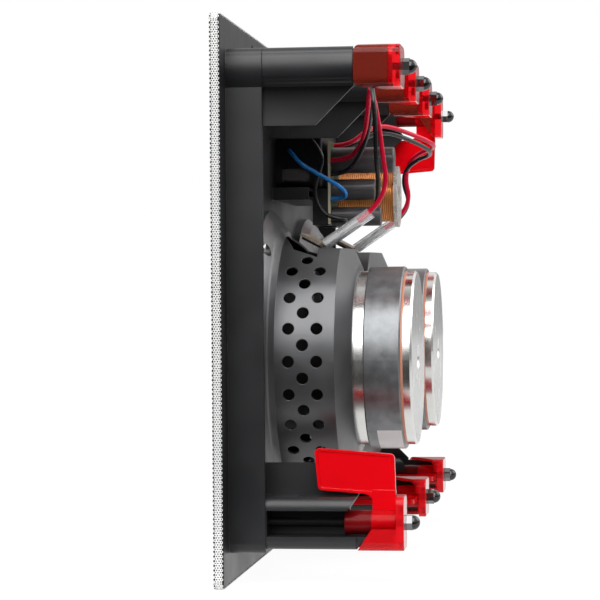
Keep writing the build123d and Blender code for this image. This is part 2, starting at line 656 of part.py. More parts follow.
def surround():
    """Half-roll surround between the cone's edge and the basket's rim."""
    base = CONE_FRONT
    roll = Circle(SURROUND_ROLL_R) - Circle(SURROUND_ROLL_R - SURROUND_T)
    roll -= Pos(0, SURROUND_ROLL_R) * Rectangle(4 * SURROUND_ROLL_R, 2 * SURROUND_ROLL_R)
    profile = Pos(SURROUND_R, base) * roll
    lip = SURROUND_LIP + SURROUND_T
    for side in (1, -1):
        lip_r = SURROUND_R + side * (SURROUND_ROLL_R - SURROUND_T + lip / 2)
        profile += Pos(lip_r, base - SURROUND_T / 2) * Rectangle(lip, SURROUND_T)
    return revolve(profile, Axis.Y)


def cone_slope():
    return CONE_DEPTH / (CONE_R - CONE_LAND - FORMER_R)


def cone():
    land_r = CONE_R - CONE_LAND
    neck_r = FORMER_R + RUNNING_FIT
    back = CONE_T * math.hypot(1.0, cone_slope())
    return turned((CONE_R, CONE_FRONT), (land_r, CONE_FRONT), (neck_r, CONE_NECK),
                  (neck_r, CONE_NECK + back), (land_r + CONE_T, CONE_FRONT + CONE_T),
                  (CONE_R, CONE_FRONT + CONE_T))


def thin_dome(radius, rise, thickness, crown):
    """Spherical shell with its crown towards the front, cut off at its base."""
    ball_r = (radius ** 2 + rise ** 2) / (2 * rise)
    centre = Pos(0, crown + ball_r, 0)
    shell = centre * Sphere(ball_r) - centre * Sphere(ball_r - thickness)
    return shell & disc(2 * radius, crown - rise, crown + rise)


def dust_cap():
    """Thin dome glued to the front of the cone."""
    edge_y = CONE_FRONT + (CONE_R - CONE_LAND - DUST_CAP_R) * cone_slope() - FIT
    return thin_dome(DUST_CAP_R, DUST_CAP_RISE, DUST_CAP_T, edge_y - DUST_CAP_RISE)


def voice_coil():
    former = ring(FORMER_R, FORMER_R - FORMER_T, CONE_NECK, BASKET_BACK + FORMER_IN_GAP)
    middle = BASKET_BACK + TOP_PLATE_T / 2
    return former + ring(FORMER_R + COIL_T, FORMER_R - FORMER_T, middle - COIL_L / 2, middle + COIL_L / 2)


def spider():
    """Corrugated cloth disc that centres the coil; its rim is glued to the basket's back ring."""
    seat = BASKET_BACK - BASKET_T
    rim_r = SPIDER_R - SPIDER_LIP
    hub_r = FORMER_R + RUNNING_FIT
    steps = 2 * SPIDER_WAVES
    front = [(SPIDER_R, seat - SPIDER_T), (rim_r, seat - SPIDER_T)]
    for index in range(1, steps):
        radius = rim_r + (hub_r - rim_r) * index / steps
        height = SPIDER_WAVE_H * (2 if index % 2 else 1)
        front.append((radius, seat - SPIDER_T - height))
    front.append((hub_r, seat - SPIDER_T - SPIDER_WAVE_H))
    rear = [(radius, y + SPIDER_T) for radius, y in reversed(front)]
    return turned(*front, *rear)


def top_plate():
    return ring(TOP_PLATE_R, GAP_R, BASKET_BACK, TOP_PLATE_BACK)


def magnet():
    body = ring(MAGNET_R, MAGNET_BORE_R, TOP_PLATE_BACK, MAGNET_BACK)
    return chamfer(body.edges().filter_by(GeomType.CIRCLE), BASKET_T / 2)


def back_plate():
    """Back plate and pole in one turned piece, with a vent along the pole."""
    rim = BACK_PLATE_R - BACK_PLATE_CHAMFER
    return turned((POLE_R, BASKET_BACK), (POLE_R, MAGNET_BACK), (BACK_PLATE_R, MAGNET_BACK),
                  (BACK_PLATE_R, BACK_PLATE_BACK - BACK_PLATE_CHAMFER), (rim, BACK_PLATE_BACK),
                  (POLE_VENT_R + BACK_PLATE_CHAMFER, BACK_PLATE_BACK),
                  (POLE_VENT_R, BACK_PLATE_BACK - BACK_PLATE_CHAMFER), (POLE_VENT_R, BASKET_BACK))


def strip_frame(piece):
    """Places a piece made about the middle of the terminal strip's rear edge, sloping down to +Y."""
    return Pos(0, STRIP_REAR, STRIP_RISE) * Rot(-STRIP_TILT, 0, 0) * piece


def tab_frame(piece):
    """Places a piece that leaves the strip's rear edge along the rising tabs, +Y."""
    return Pos(0, STRIP_REAR, STRIP_RISE) * Rot(TAB_TILT, 0, 0) * piece


def terminal_strip():
    """Terminal board with two bent tabs."""
    strip = strip_frame(Pos(0, -STRIP_L / 2, 0) * Box(STRIP_W, STRIP_L, STRIP_T))
    tab_l = TAB_BARE + TAB_L
    for side in (1, -1):
        strip += tab_frame(Pos(side * TAB_SPACING / 2, tab_l / 2, 0) * Box(TAB_W, tab_l, TAB_T))
    return strip


def connector(length):
    """Clear sleeve along +Y from the origin, open at both ends."""
    wide = SLEEVE_W - 2 * SLEEVE_WALL
    high = SLEEVE_H - 2 * SLEEVE_WALL
    body = slab(RectangleRounded(SLEEVE_W, SLEEVE_H, CONNECTOR_EDGE_R), 0, length)
    return body - slab(RectangleRounded(wide, high, CONNECTOR_EDGE_R - SLEEVE_WALL), 0, length)


def spade():
    """Receptacle that goes on a tab, with its neck and the barrel that grips the wire."""
    neck_end = SPADE_L + SPADE_NECK_L
    body = slab(Rectangle(SLEEVE_W - 2 * SLEEVE_WALL - 2 * FIT, SPADE_T), 0, SPADE_L)
    body -= slab(Rectangle(TAB_W + 2 * FIT, TAB_T + 2 * FIT), 0, TAB_L + FIT)
    body += slab(Rectangle(SPADE_NECK_W, SPADE_T / 2), SPADE_L, neck_end)
    return body + disc(BARREL_R, neck_end, neck_end + BARREL_L)


def on_tabs(piece):
    """A copy of the piece on each tab of a woofer's terminal strip."""
    return [tab_frame(Pos(side * TAB_SPACING / 2, TAB_BARE, 0) * piece) for side in (1, -1)]


def lead_point(x, side, reach):
    """Point on a connector's axis, reach behind its front end, for a woofer at x."""
    tilt = math.radians(TAB_TILT)
    along = TAB_BARE + reach
    return (x + side * TAB_SPACING / 2, STRIP_REAR + along * math.cos(tilt),
            WOOFER_Z + STRIP_RISE + along * math.sin(tilt))


def lead_end(x, side):
    """Last two points of a wire: behind its sleeve, and at its spade's barrel."""
    return (lead_point(x, side, CONNECTOR_L + LEAD_RUN),
            lead_point(x, side, SPADE_L + SPADE_NECK_L + BARREL_L))


def tweeter_connector():
    """Sleeve that lies along the tweeter's housing."""
    side_x = HOUSING_SIDE + LEAD_FREE + SLEEVE_H / 2
    sleeve = Rot(0, 90, 0) * connector(TWEETER_CONNECTOR_L)
    return Pos(side_x, TWEETER_CONNECTOR_Y, TWEETER_CONNECTOR_Z) * sleeve


def waveguide():
    """Tweeter's front plate with its horn-shaped mouth and the collar for the motor."""
    front = BAFFLE_FRONT - WAVEGUIDE_PLATE_T
    throat = front + WAVEGUIDE_DEPTH
    back = throat - WAVEGUIDE_WALL
    seat = tweeter_plate_front()
    free_r = DOME_EDGE_R + DOME_AIR
    plate = turned((WAVEGUIDE_R, front), (WAVEGUIDE_R, BAFFLE_FRONT),
                   (WAVEGUIDE_MOUTH_R, BAFFLE_FRONT), (COLLAR_R, back), (COLLAR_R, seat),
                   (free_r, seat), (free_r, throat), (WAVEGUIDE_THROAT_R, throat),
                   (WAVEGUIDE_THROAT_R, back), (WAVEGUIDE_MOUTH_R - WAVEGUIDE_WALL, front))
    return plate - tweeter_circle(disc(DRIVER_SCREW_R + SCREW_CLEAR, 0, BAFFLE_FRONT))


def dome_edge():
    """Front of the diaphragm's flat edge, along y."""
    return BAFFLE_FRONT - WAVEGUIDE_PLATE_T + WAVEGUIDE_DEPTH + DOME_AIR


def diaphragm():
    """Tweeter dome with its flat edge and coil former."""
    base = dome_edge()
    dome = thin_dome(DOME_R, DOME_RISE, DOME_T, base + DOME_T - DOME_RISE)
    edge = ring(DOME_EDGE_R, DOME_R - DOME_T, base, base + DOME_T)
    return dome + edge + ring(DOME_R, DOME_R - DOME_T, base, base + DOME_FORMER_L)


def tweeter_plate_front():
    return dome_edge() + DOME_T + DOME_AIR


def tweeter_top_plate():
    front = tweeter_plate_front()
    return ring(TWEETER_PLATE_R, DOME_R + TWEETER_GAP, front, front + TWEETER_PLATE_T)


def tweeter_magnet():
    front = tweeter_plate_front() + TWEETER_PLATE_T
    return ring(TWEETER_MAGNET_R, TWEETER_MAGNET_BORE_R, front, front + TWEETER_MAGNET_T)


def tweeter_yoke():
    front = tweeter_plate_front()
    seat = front + TWEETER_PLATE_T + TWEETER_MAGNET_T
    pole_r = DOME_R - DOME_T - TWEETER_GAP
    return disc(pole_r, front, seat) + disc(TWEETER_PLATE_R, seat, seat + TWEETER_YOKE_T)


def tweeter_housing():
    """Closed rear chamber on the baffle; its rear face carries the crossover board."""
    outer = slab(RectangleRounded(HOUSING_W, HOUSING_H, HOUSING_CORNER_R), BAFFLE_BACK, HOUSING_END)
    outer = fillet(outer.faces().sort_by(Axis.Y)[-1].edges(), HOUSING_WALL)
    inside = RectangleRounded(HOUSING_W - 2 * HOUSING_WALL, HOUSING_H - 2 * HOUSING_WALL,
                              HOUSING_CORNER_R - HOUSING_WALL)
    body = outer - slab(inside, BAFFLE_BACK, HOUSING_END - HOUSING_WALL)
    body = Pos(0, 0, TWEETER_Z) * body
    post = disc(STANDOFF_R, HOUSING_END - HOUSING_WALL, BOARD_FRONT)
    hole = disc(BOARD_SCREW_R, BOARD_BACK - BOARD_SCREW_L, BOARD_FRONT)
    body += [Pos(x, 0, z) * post for x, z in UPPER_SCREWS]
    return body - [Pos(x, 0, z) * hole for x, z in UPPER_SCREWS]


def board():
    plate = slab(Pos(0, BOARD_Z) * Rectangle(BOARD_W, BOARD_H), BOARD_FRONT, BOARD_BACK)
    hole = disc(BOARD_SCREW_R + SCREW_CLEAR, BOARD_FRONT, BOARD_BACK)
    return plate - [Pos(x, 0, z) * hole for x, z in STANDOFFS]


def board_screws():
    one = disc(BOARD_HEAD_R, BOARD_BACK, BOARD_BACK + BOARD_HEAD_H)
    one += disc(BOARD_SCREW_R - RUNNING_FIT, BOARD_BACK - BOARD_SCREW_L + FIT, BOARD_BACK)
    return [Pos(x, 0, z) * one for x, z in STANDOFFS]


def capacitors():
    cans = []
    for x, z, radius, length in CAPACITORS:
        can = disc(radius, BOARD_BACK, BOARD_BACK + length)
        can = fillet(can.faces().sort_by(Axis.Y)[-1].edges(), radius / 6)
        cans.append(Pos(x, 0, z) * can)
    return cans


def coil_bobbin():
    end = BOARD_BACK + BOBBIN_L
    body = disc(BOBBIN_CORE_R, BOARD_BACK, end)
    body += [disc(BOBBIN_R, BOARD_BACK, BOARD_BACK + BOBBIN_CHEEK_T),
             disc(BOBBIN_R, end - BOBBIN_CHEEK_T, end)]
    body -= disc(BOBBIN_BORE_R, BOARD_BACK, end)
    return Pos(COIL_X, 0, COIL_Z) * body


def coil_winding():
    turns = ring(WINDING_R, BOBBIN_CORE_R, BOARD_BACK + BOBBIN_CHEEK_T,
                 BOARD_BACK + BOBBIN_L - BOBBIN_CHEEK_T)
    return Pos(COIL_X, 0, COIL_Z) * turns


def resistor():
    body = Rot(0, 90, 0) * Cylinder(RESISTOR_R, RESISTOR_L)
    return Pos(RESISTOR_X, BOARD_BACK + RESISTOR_R, RESISTOR_Z) * body


def input_terminal():
    """Two-way terminal block on the board; its cable holes face the rear."""
    end = BOARD_BACK + TERMINAL_D
    block = slab(Rectangle(TERMINAL_W, TERMINAL_H), BOARD_BACK, end)
    block = fillet(block.faces().sort_by(Axis.Y)[-1].edges(), FIT * 4)
    for side in (1, -1):
        block -= Pos(0, 0, side * TERMINAL_PITCH / 2) * disc(TERMINAL_BORE_R, end - TERMINAL_BORE_L, end)
    return Pos(TERMINAL_X, 0, TERMINAL_Z) * block


def cord(points, diameter):
    """Round wire along a route of points, with arcs as large as its runs allow."""
    radii = []
    for before, here, after in zip(points, points[1:], points[2:]):
        first = Vector(*here) - Vector(*before)
        second = Vector(*after) - Vector(*here)
        half_turn = math.radians(first.get_angle(second)) / 2
        radii.append(0.45 * min(first.length, second.length) / math.tan(half_turn))
    path = FilletPolyline(*points, radius=radii)
    section = Plane(origin=path @ 0, z_dir=path % 0) * Circle(diameter / 2)
    tube = sweep(section, path=path)
    share = tube.volume / (math.pi * diameter ** 2 / 4 * path.length)
    print("cord radii", [round(radius, 1) for radius in radii], "length", round(path.length, 1),
          "volume share", round(share, 4))
    return tube


# Routes of the wires, end to end
NEAR_RED = ((34.3, BOARD_BACK, 85), (34.3, 51, 85), (44, 60, 91), (58, 65.5, 100), (75, 69, 113),
            (90, 71.5, 126), (100.5, 75, 117), (101.5, 78, 100), (100.5, 80, 82), (97.5, 82, 67),
            *lead_end(WOOFER_X, 1))
NEAR_BLACK = ((34.3, BOARD_BACK, 76.5), (34.3, 51, 76.5), (42, 60, 86), (56, 67, 99), (73.5, 71, 114.5),
              (89.5, 71.5, 130), (104.5, 75, 119), (105, 76, 100), (102, 76, 82), (92, 76.5, 68),
              *lead_end(WOOFER_X, -1))
FAR_RED = ((14, BOARD_BACK, 95.3), (14, 51, 95.3), (5, 61, 105), (-11, 70, 109.5), (-28, 85, 105),
           (-48, 98, 100), (-64, 99, 97.5), (-74, 90, 96), (-79, 81, 90), (-81, 78, 78), (-82, 81, 65),
           *lead_end(-WOOFER_X, 1))
FAR_BLACK = ((1, BOARD_BACK, 95.3), (1, 52, 95.3), (-6, 62, 103), (-16, 73, 105), (-30, 86, 100.5),
             (-46, 96.5, 95.5), (-60, 96.5, 92.5), (-71, 88, 91), (-79, 78.5, 85), (-87, 76, 75),
             (-92.5, 80, 64), *lead_end(-WOOFER_X, -1))
TWEETER_BLUE = ((HOUSING_SIDE, 17, 91), (HOUSING_SIDE + 3, 17, 91), (HOUSING_SIDE + 5.6, 18.1, 89.9),
                (HOUSING_SIDE + 7.3, 20.2, 87.7), (47.7, 24, 82.8), (47.3, 31.5, 78.2), (46.6, 40.5, 73.2),
                (44.6, 47.5, 68.9), (41, 51.4, 65.3), (36.8, 51.2, 62.6), (34.3, 47.6, 61.5),
                (34.3, BOARD_BACK, 61.5))
TWEETER_BLACK = ((HOUSING_SIDE, 26, 103), (HOUSING_SIDE + 2.8, 26, 103), (HOUSING_SIDE + 5.4, 26.9, 101.8),
                 (HOUSING_SIDE + 7.1, 28.8, 99.4), (47.5, 33.6, 94.3), (46.8, 38.6, 86), (45.5, 36, 77.5),
                 (44.8, 33, 69), (44.6, 33.4, 60.5), (43.8, 36.5, 54), (43, 41.5, 50.3), (43, 48, 48.8),
                 (40.6, 51.6, 48.3), (36.7, 51.6, 48), (34.3, 48, 48), (34.3, BOARD_BACK, 48))


def wires(*routes, diameter):
    return [cord([tuple(map(float, point)) for point in route], diameter) for route in routes]


def write(name, piece):
    """Writes a node's solid, or its group of like solids."""
    shape = Compound(children=list(piece)) if isinstance(piece, list) else piece
    export_step(shape, os.path.join("parts", name + ".step"))


os.makedirs("parts", exist_ok=True)
write("frame", frame())
write("clamp_towers", clamp_towers())
write("grille", grille())
write("grille_magnets", grille_magnets())
for station in STATIONS:
    write("clamp_" + station[0], at_station(clamp(), station))
    write("clamp_bush_" + station[0], at_station(clamp_bush(), station))
write("clamp_caps", [at_station(clamp_cap(), station) for station in STATIONS])
write("clamp_screws", [at_station(clamp_screw(), station) for station in STATIONS])
write("cap_nuts", [at_station(cap_nut(), station) for station in STATIONS])
for name, x in WOOFERS:
    place = Pos(x, 0, WOOFER_Z)
    write("basket_" + name, place * basket())
    write("surround_" + name, place * surround())
    write("cone_" + name, place * cone())
    write("dust_cap_" + name, place * dust_cap())
    write("voice_coil_" + name, place * voice_coil())
    write("spider_" + name, place * spider())
    write("top_plate_" + name, place * top_plate())
    write("magnet_" + name, place * magnet())
    write("back_plate_" + name, place * back_plate())
write("woofer_terminals", [Pos(x, 0, WOOFER_Z) * terminal_strip() for name, x in WOOFERS])
rear_screw = Pos(0, WOOFER_SEAT, 0) * Rot(180, 0, 0) * driver_screw(WOOFER_SCREW_L)
write("woofer_screws", [Pos(x, 0, WOOFER_Z) * screw for name, x in WOOFERS
                        for screw in woofer_circle(rear_screw)])
tweeter_place = Pos(0, 0, TWEETER_Z)
write("tweeter_waveguide", tweeter_place * waveguide())
write("tweeter_diaphragm", tweeter_place * diaphragm())
write("tweeter_top_plate", tweeter_place * tweeter_top_plate())
write("tweeter_magnet", tweeter_place * tweeter_magnet())
write("tweeter_yoke", tweeter_place * tweeter_yoke())
write("tweeter_housing", tweeter_housing())
front_screw = Pos(0, BAFFLE_FRONT - WAVEGUIDE_PLATE_T, 0) * driver_screw(DRIVER_SCREW_L)
write("tweeter_screws", [tweeter_place * screw for screw in tweeter_circle(front_screw)])
write("crossover_board", board())
write("board_screws", board_screws())
write("capacitors", capacitors())
write("coil_bobbin", coil_bobbin())
write("coil_winding", coil_winding())
write("resistor", resistor())
write("input_terminal", input_terminal())
sleeves = [tweeter_connector()]
spades = []
for name, x in WOOFERS:
    place = Pos(x, 0, WOOFER_Z)
    sleeves += [place * sleeve for sleeve in on_tabs(connector(CONNECTOR_L))]
    spades += [place * piece for piece in on_tabs(spade())]
write("connector_sleeves", sleeves)
write("spade_terminals", spades)
write("woofer_1_wires", wires(NEAR_RED, NEAR_BLACK, diameter=WIRE_D))
write("woofer_2_wires", wires(FAR_RED, FAR_BLACK, diameter=WIRE_D))
write("tweeter_wires", wires(TWEETER_BLUE, TWEETER_BLACK, diameter=TWEETER_WIRE_D))
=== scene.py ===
import math

import bpy
from mathutils import Matrix, Vector


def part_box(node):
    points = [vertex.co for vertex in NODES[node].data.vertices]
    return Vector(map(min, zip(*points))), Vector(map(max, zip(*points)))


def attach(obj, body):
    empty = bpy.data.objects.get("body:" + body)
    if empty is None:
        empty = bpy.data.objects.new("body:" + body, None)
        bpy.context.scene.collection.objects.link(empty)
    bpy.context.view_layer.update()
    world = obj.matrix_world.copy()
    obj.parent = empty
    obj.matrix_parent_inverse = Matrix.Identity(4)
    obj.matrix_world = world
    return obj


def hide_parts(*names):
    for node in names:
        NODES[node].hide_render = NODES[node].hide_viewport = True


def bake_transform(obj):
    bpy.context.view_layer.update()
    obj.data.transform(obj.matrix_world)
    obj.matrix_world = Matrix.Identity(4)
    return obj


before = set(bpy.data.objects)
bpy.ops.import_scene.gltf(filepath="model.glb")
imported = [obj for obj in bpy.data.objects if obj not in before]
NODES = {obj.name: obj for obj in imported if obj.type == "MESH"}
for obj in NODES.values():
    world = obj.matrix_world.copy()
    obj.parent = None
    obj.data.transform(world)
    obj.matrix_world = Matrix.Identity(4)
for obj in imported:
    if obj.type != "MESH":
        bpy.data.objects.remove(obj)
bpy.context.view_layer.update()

# Camera, as the photograph was taken: beside the panel's edge, a little behind it
CAMERA_AT = Vector((1.4298, 0.2011, 0.0076))
CAMERA_YAW = 7.315          # degrees from -X towards -Y
CAMERA_PITCH = 0.334        # degrees down
CAMERA_ROLL = 0.459
LENS_MM = 137.285
SENSOR_MM = 36.0

# Wires, in metres: the routes of the solids
WIRE_D = 0.0028
TWEETER_WIRE_D = 0.0026
BOARD_BACK = 0.0416
LEAD_TURN = (0.07444, 0.05290)      # (y, z) of the last bend before a woofer's sleeves
LEAD_END = (0.06408, 0.04591)       # (y, z) where a wire ends in its sleeve
NEAR_X = (0.0930, 0.0820)           # red and black sleeves of the near woofer
FAR_X = (-0.0820, -0.0930)

# Push-on sleeves: the grey one beside the tweeter lies above this height
TWEETER_SLEEVE_Z = 0.062

# Grille: fine perforated sheet, folded at its edges
PITCH = 0.00146
HOLE_R = 0.00042
SHEET_T = 0.0005
BEND_R = 0.0004
GRILLE_CORNER_R = 0.004
BAND_HOLES = 3              # holes across the folded rim
SCRIM_GAP = 0.0003          # to the black cloth behind the sheet

# Cap nuts: where the plated hexagon ends and the dome starts
NUT_DOME_Y = 0.1011
NUT_EDGE = 0.0002

# Near magnet's sticker, by shares of the magnet's depth and by heights above its lowest point
STICKER_SPAN = (0.3, 0.96)
STICKER_RISE = (0.0012, 0.0126)

# Ring of glue between a magnet and its back plate
GLUE_LAP = 0.0002
GLUE_T = 0.0013

# Turns of the coil
COIL_WIRE_R = 0.00058

# Towers: where their ends stop inside the caps, how round their sides look, and the painted shadow on the
# webs below them
SPIGOT_END = 0.0896
TOWER_BULGE_R = 0.018
TOWER_HALF = 0.0112         # half of an upper tower's height
WEB_LOW = 0.034             # lower end of the painted shadow on the webs, below the towers' axis
WEB_LIGHT = 0.03            # where that painted shadow starts and where it is full
WEB_DARK = 0.0125

# Clamps: where the darker colour and painted shade of the sleeve round the bush end, and where the clear
# caps start to cover it
SLEEVE_SHADE_EDGE = (0.007, 0.0074)
CAP_MOUTH_Y = 0.0785

# Finishes: usual span of a noise value, and the depth of the grain
NOISE_SPAN = (0.3, 0.7)
GRAIN_DEPTH = 0.0001

# Spiders: number of sectors
SPIDER_SECTORS = 12

# Stage
FLOOR_Z = -0.1578
FLOOR_FRONT = 0.26          # the floor ends before the camera, just outside its view
FLOOR_SHARE = 0.9           # share of plain white in the floor; the rest takes light and shadow
FLOOR_GLOW = 1.06
ROOM_LIGHT = 0.16
ROOM_REFLECTED = 0.06
BEHIND_X = (0.0, 0.3)       # directions: where the white behind the object ends
BEHIND_WHITE = 0.35
ABOVE_Z = (0.05, 0.3)       # where the white above it starts
OVERHEAD_Z = (0.95, 1.0)    # where that white grows dim, straight overhead
OVERHEAD_SHARE = 0.3
FLOOR_FADE = (0.35, 0.9)    # distances over which the floor's shadow fades out
LIGHT_AIM = Vector((0, 0.04, 0))
LIGHTS = (                  # name, place, size, power
    ("key", (1.3, -0.05, 1.35), 2.0, 50.0),
    ("front", (0.6, -1.4, 0.6), 1.0, 6.0),
    ("rear", (-0.6, 1.4, 0.9), 1.2, 12.0))


def set_camera():
    """Camera at the photograph's angle."""
    yaw, pitch, roll = (math.radians(v) for v in (CAMERA_YAW, CAMERA_PITCH, CAMERA_ROLL))
    forward = Vector((-math.cos(yaw) * math.cos(pitch), -math.sin(yaw) * math.cos(pitch), -math.sin(pitch)))
    right = forward.cross(Vector((0, 0, 1))).normalized()
    up = right.cross(forward)
    tilted_up = up * math.cos(roll) + right * math.sin(roll)
    tilted_right = forward.cross(tilted_up)
    data = bpy.data.cameras.new("camera")
    data.lens = LENS_MM
    data.sensor_width = SENSOR_MM
    data.clip_start = 0.01
    camera = bpy.data.objects.new("camera", data)
    turn = Matrix((tilted_right, tilted_up, -forward)).transposed()
    camera.matrix_world = Matrix.Translation(CAMERA_AT) @ turn.to_4x4()
    bpy.context.scene.collection.objects.link(camera)
    bpy.context.scene.camera = camera


def link(tree, start, end):
    tree.links.new(start, end)


def arithmetic(tree, operation, first, second=None):
    """One operation on a value, alone or with a number or another value."""
    step = tree.nodes.new("ShaderNodeMath")
    step.operation = operation
    link(tree, first, step.inputs[0])
    if isinstance(second, float):
        step.inputs[1].default_value = second
    elif second is not None:
        link(tree, second, step.inputs[1])
    return step.outputs[0]


def most(tree, first, second):
    return arithmetic(tree, "MAXIMUM", first, second)


def scaled(tree, value, factor):
    return arithmetic(tree, "MULTIPLY", value, factor)


def vector_step(tree, operation, vector, *constants):
    """One operation on a vector with constant vectors."""
    step = tree.nodes.new("ShaderNodeVectorMath")
    step.operation = operation
    link(tree, vector, step.inputs[0])
    for index, constant in enumerate(constants, 1):
        step.inputs[index].default_value = constant
    return step.outputs["Value" if operation == "LENGTH" else "Vector"]


def ramp_between(tree, value, low, high, at_low, at_high):
    """at_low where the value is low, at_high where it is high."""
    span = tree.nodes.new("ShaderNodeMapRange")
    for socket, number in (("From Min", low), ("From Max", high), ("To Min", at_low), ("To Max", at_high)):
        span.inputs[socket].default_value = number
    link(tree, value, span.inputs["Value"])
    return span.outputs["Result"]


def piece_coordinates(tree):
    return tree.nodes.new("ShaderNodeTexCoord").outputs["Object"]


def noise(tree, scale, detail=3.0):
    """Noise texture over the piece's own coordinates."""
    texture = tree.nodes.new("ShaderNodeTexNoise")
    texture.inputs["Scale"].default_value = scale
    texture.inputs["Detail"].default_value = detail
    link(tree, piece_coordinates(tree), texture.inputs["Vector"])
    return texture.outputs["Fac"]


def spread(tree, value, low, high):
    """Maps a noise value from its usual span to low and high."""
    return ramp_between(tree, value, *NOISE_SPAN, low, high)


def two_colours(tree, value, first, second):
    """Blend of two colours over the usual span of a noise value."""
    ramp = tree.nodes.new("ShaderNodeValToRGB")
    ramp.color_ramp.elements[0].position, ramp.color_ramp.elements[1].position = NOISE_SPAN
    ramp.color_ramp.elements[0].color = (*first, 1)
    ramp.color_ramp.elements[1].color = (*second, 1)
    link(tree, value, ramp.inputs["Fac"])
    return ramp.outputs["Color"]


def surface(name, colour, rough, metal=0.0, vary=0.08, patch=60.0, grain=900.0, bump=0.1, rough_vary=0.06,
            sockets=None, round_edges=0.0):
    """Material with patchy colour and gloss and a fine grain; its edges can shine as if rounded."""
    made = bpy.data.materials.new(name)
    made.use_nodes = True
    tree = made.node_tree
    shader = tree.nodes["Principled BSDF"]
    patches = noise(tree, patch)
    dark = tuple(c * (1 - vary) for c in colour)
    light = tuple(min(1.0, c * (1 + vary)) for c in colour)
    link(tree, two_colours(tree, patches, dark, light), shader.inputs["Base Color"])
    link(tree, spread(tree, patches, rough - rough_vary, rough + rough_vary), shader.inputs["Roughness"])
    relief = tree.nodes.new("ShaderNodeBump")
    relief.inputs["Strength"].default_value = bump
    relief.inputs["Distance"].default_value = GRAIN_DEPTH
    link(tree, noise(tree, grain, 2.0), relief.inputs["Height"])
    if round_edges:
        edges = tree.nodes.new("ShaderNodeBevel")
        edges.inputs["Radius"].default_value = round_edges
        link(tree, edges.outputs["Normal"], relief.inputs["Normal"])
    link(tree, relief.outputs["Normal"], shader.inputs["Normal"])
    shader.inputs["Metallic"].default_value = metal
    for socket, value in (sockets or {}).items():
        shader.inputs[socket].default_value = value
    return made


def base_colour_by(made, mask, second):
    """Mixes a second colour into a material where mask is 1."""
    tree = made.node_tree
    shader = tree.nodes["Principled BSDF"]
    first = shader.inputs["Base Color"].links[0].from_socket
    mix = tree.nodes.new("ShaderNodeMix")
    mix.data_type = "RGBA"
    link(tree, mask, mix.inputs["Factor"])
    link(tree, first, mix.inputs["A"])
    mix.inputs["B"].default_value = (*second, 1)
    link(tree, mix.outputs["Result"], shader.inputs["Base Color"])


def axis_value(tree, source, output, axis):
    """One coordinate of a vector output."""
    vector = tree.nodes.new(source)
    parts = tree.nodes.new("ShaderNodeSeparateXYZ")
    link(tree, vector.outputs[output], parts.inputs["Vector"])
    return parts.outputs[axis]


def within(tree, axis, low, high, soft=0.0002):
    """1 where a coordinate of the piece lies between two values."""
    value = axis_value(tree, "ShaderNodeTexCoord", "Object", axis)
    return scaled(tree, ramp_between(tree, value, low - soft, low, 0.0, 1.0),
                  ramp_between(tree, value, high, high + soft, 1.0, 0.0))


def set_by(made, socket, mask, at_zero, at_one):
    """Drives a shader socket by a mask."""
    tree = made.node_tree
    link(tree, ramp_between(tree, mask, 0.0, 1.0, at_zero, at_one),
         tree.nodes["Principled BSDF"].inputs[socket])


def offset_from(tree, centre):
    """Vector to the shaded point from an axis along Y."""
    return vector_step(tree, "MULTIPLY_ADD", piece_coordinates(tree), (1, 0, 1), (-centre.x, 0, -centre.z))


def clamp_finish(name):
    """Clear red of one swing clamp, darker where its threaded bush and screw lie inside, with painted shade
    of the tower's channel on that sleeve up to the cap.
    """
    made = surface("clear_red_" + name, (0.9, 0.002, 0.008), 0.12, vary=0.02, patch=30, grain=400, bump=0.02,
                   rough_vary=0.02, sockets={"Transmission Weight": 0.2, "IOR": 1.35}, round_edges=0.0006)
    tree = made.node_tree
    low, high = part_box(name.replace("clamp_", "clamp_bush_"))
    away = vector_step(tree, "LENGTH", offset_from(tree, (low + high) / 2))
    sleeve = ramp_between(tree, away, *SLEEVE_SHADE_EDGE, 1.0, 0.0)
    base_colour_by(made, sleeve, (0.62, 0.002, 0.006))
    # painted shade: the sleeve is darkest in the tower's channel, before the caps' mouth; its gloss is
    # dulled as well
    base_colour_by(made, scaled(tree, sleeve, within(tree, "Y", 0.0, CAP_MOUTH_Y)), (0.2, 0.004, 0.006))
    set_by(made, "Specular IOR Level", sleeve, 0.4, 0.08)
    return made


def basket_finish(name):
    """Grey of one basket, dark inside."""
    made = surface("basket_grey_" + name[-1], (0.105, 0.106, 0.11), 0.34, 0.6, vary=0.05, patch=70,
                   grain=1800, bump=0.06, round_edges=0.0006)
    tree = made.node_tree
    low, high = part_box(name)
    facing = tree.nodes.new("ShaderNodeNewGeometry")
    outward = tree.nodes.new("ShaderNodeVectorMath")
    outward.operation = "DOT_PRODUCT"
    link(tree, offset_from(tree, (low + high) / 2), outward.inputs[0])
    link(tree, facing.outputs["Normal"], outward.inputs[1])
    inside = ramp_between(tree, outward.outputs["Value"], -0.004, -0.002, 1.0, 0.0)
    base_colour_by(made, inside, (0.012, 0.012, 0.013))
    return made


def magnet_finish(name):
    """Mottled ferrite; the near magnet carries a bare white sticker."""
    made = surface("ferrite_" + name[-1], (0.18, 0.186, 0.192), 0.37, 0.7, vary=0.25, patch=130, grain=900,
                   bump=0.12)
    tree = made.node_tree
    if name == "magnet_1":
        low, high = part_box(name)
        depth = high.y - low.y
        sticker = scaled(tree, within(tree, "Y", *(low.y + share * depth for share in STICKER_SPAN)),
                         within(tree, "Z", *(low.z + rise for rise in STICKER_RISE)))
        sticker = scaled(tree, sticker, within(tree, "X", (low.x + high.x) / 2, high.x))
        base_colour_by(made, sticker, (0.8, 0.8, 0.8))
        set_by(made, "Metallic", sticker, 0.7, 0.0)
    return made


